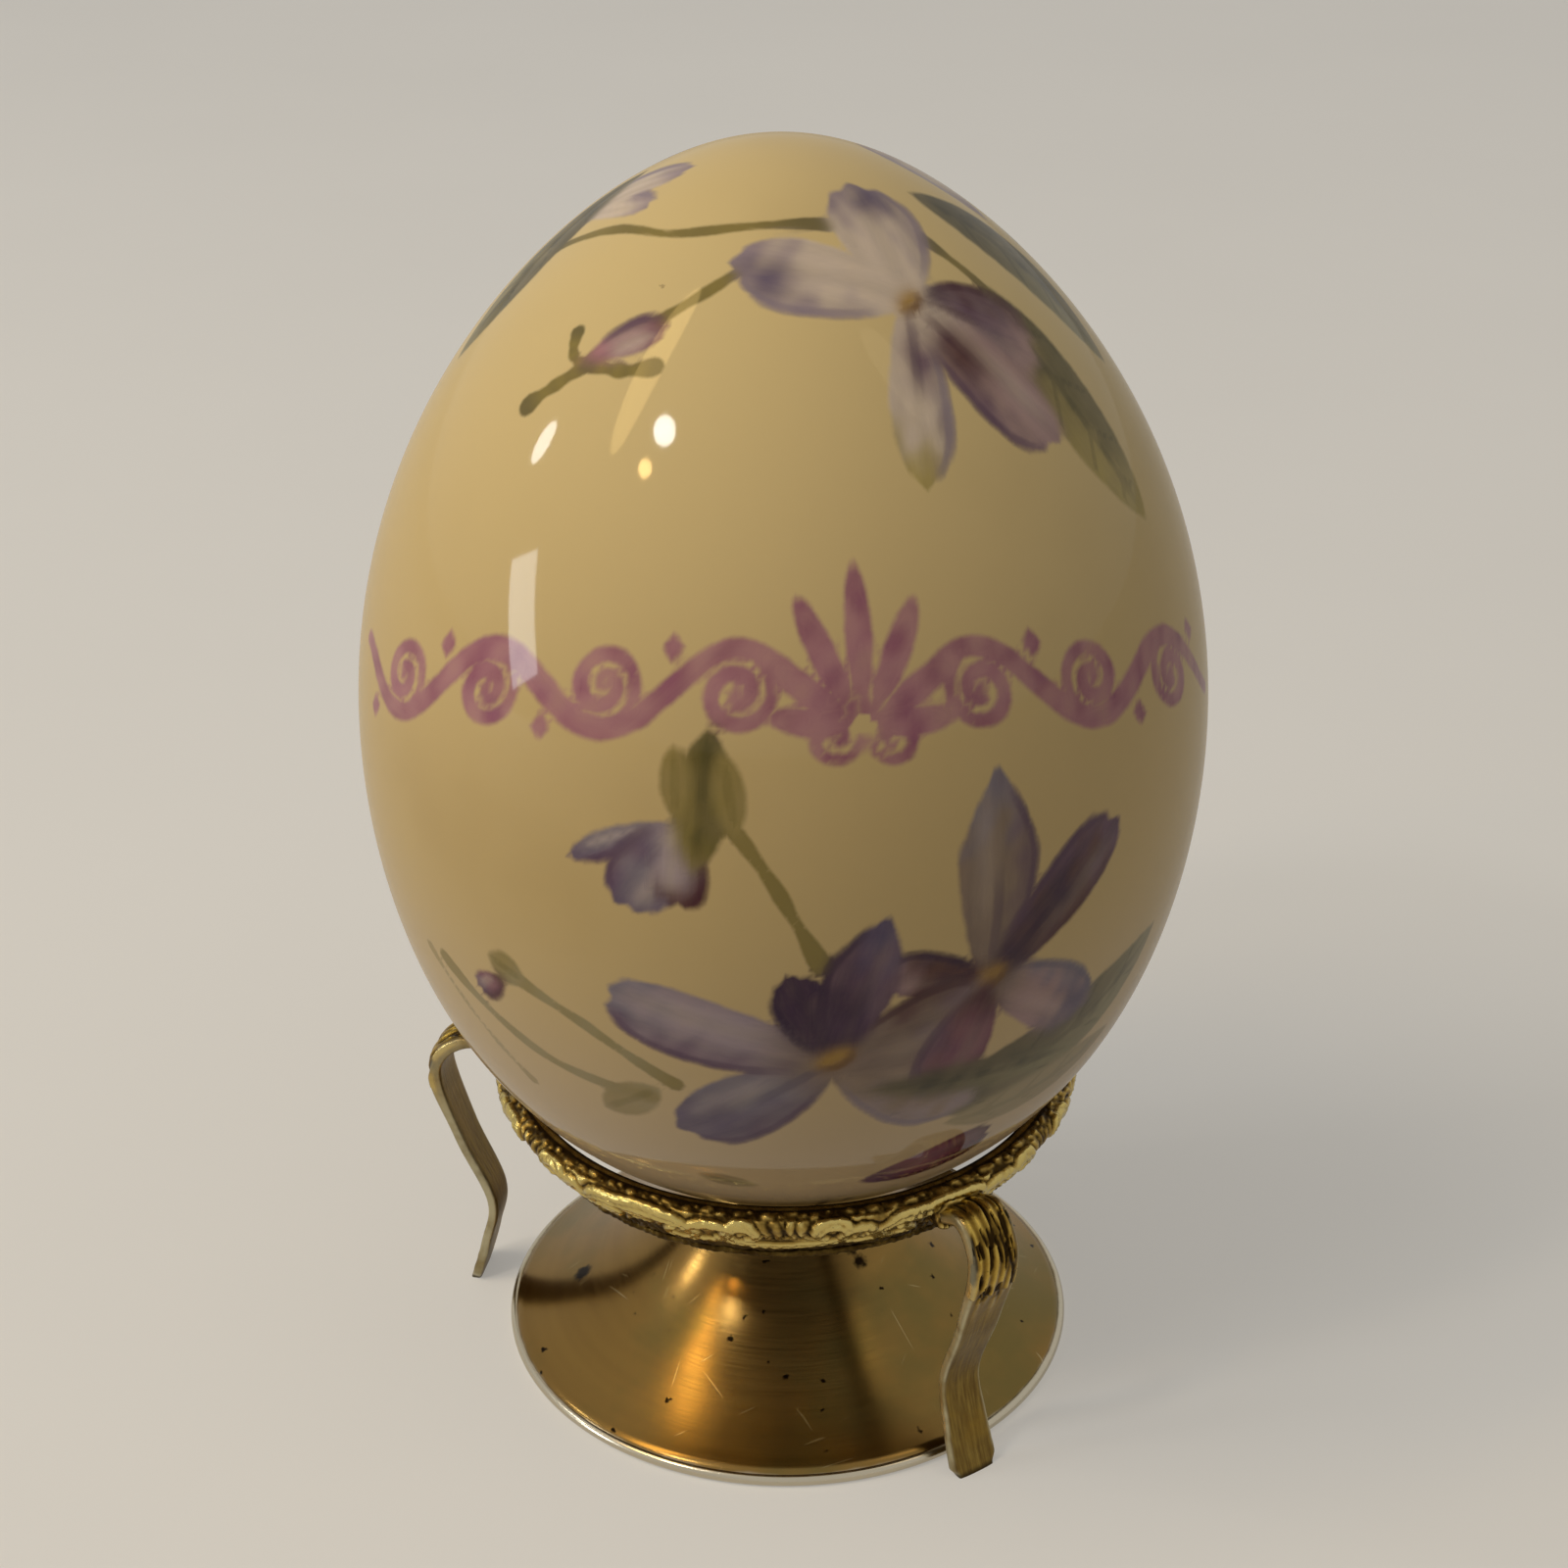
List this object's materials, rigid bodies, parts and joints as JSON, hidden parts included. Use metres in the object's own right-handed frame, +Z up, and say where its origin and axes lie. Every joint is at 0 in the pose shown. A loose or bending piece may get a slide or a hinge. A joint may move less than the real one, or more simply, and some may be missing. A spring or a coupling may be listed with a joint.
{
  "type": "egg ornament on stand",
  "caption": "Hollow glazed porcelain egg resting in a gilt ring on curved legs, over a spun brass trumpet foot with a small cup.",
  "frame": {"origin": "middle of the base, on the table that the pedestal's rim and the three toes stand on", "axes": "+Z up along the egg's axis; -Y towards the viewer of the picture; +X to that viewer's right"},
  "size_m": [0.0804, 0.0804, 0.1262],
  "materials": {
    "porcelain": "glossy ivory glaze with painted violets",
    "gilt_ring": "gilded, cast scroll relief",
    "leg_gold": "worn matt gilding",
    "pedestal_brass": "spun, lacquered and scratched",
    "fastener_steel": "plain machined"
  },
  "bodies": {
    "pedestal": {"trumpet_foot": "pedestal_brass", "egg_cup": "pedestal_brass", "cup_screw": "fastener_steel", "screw_washer": "fastener_steel", "screw_nut": "fastener_steel"},
    "ring_stand": {"ring_collar": "gilt_ring", "leg_left": "leg_gold", "leg_front": "leg_gold", "leg_back": "leg_gold"},
    "egg": {"egg_shell": "porcelain"}
  },
  "joints": [
    {"name": "ring_lift", "type": "slide", "parent": "pedestal", "child": "ring_stand", "axis": [0, 0, 1], "range_m": [0, 0.04]},
    {"name": "egg_lift", "type": "slide", "parent": "ring_stand", "child": "egg", "axis": [0, 0, 1], "range_m": [0, 0.08]}
  ]
}
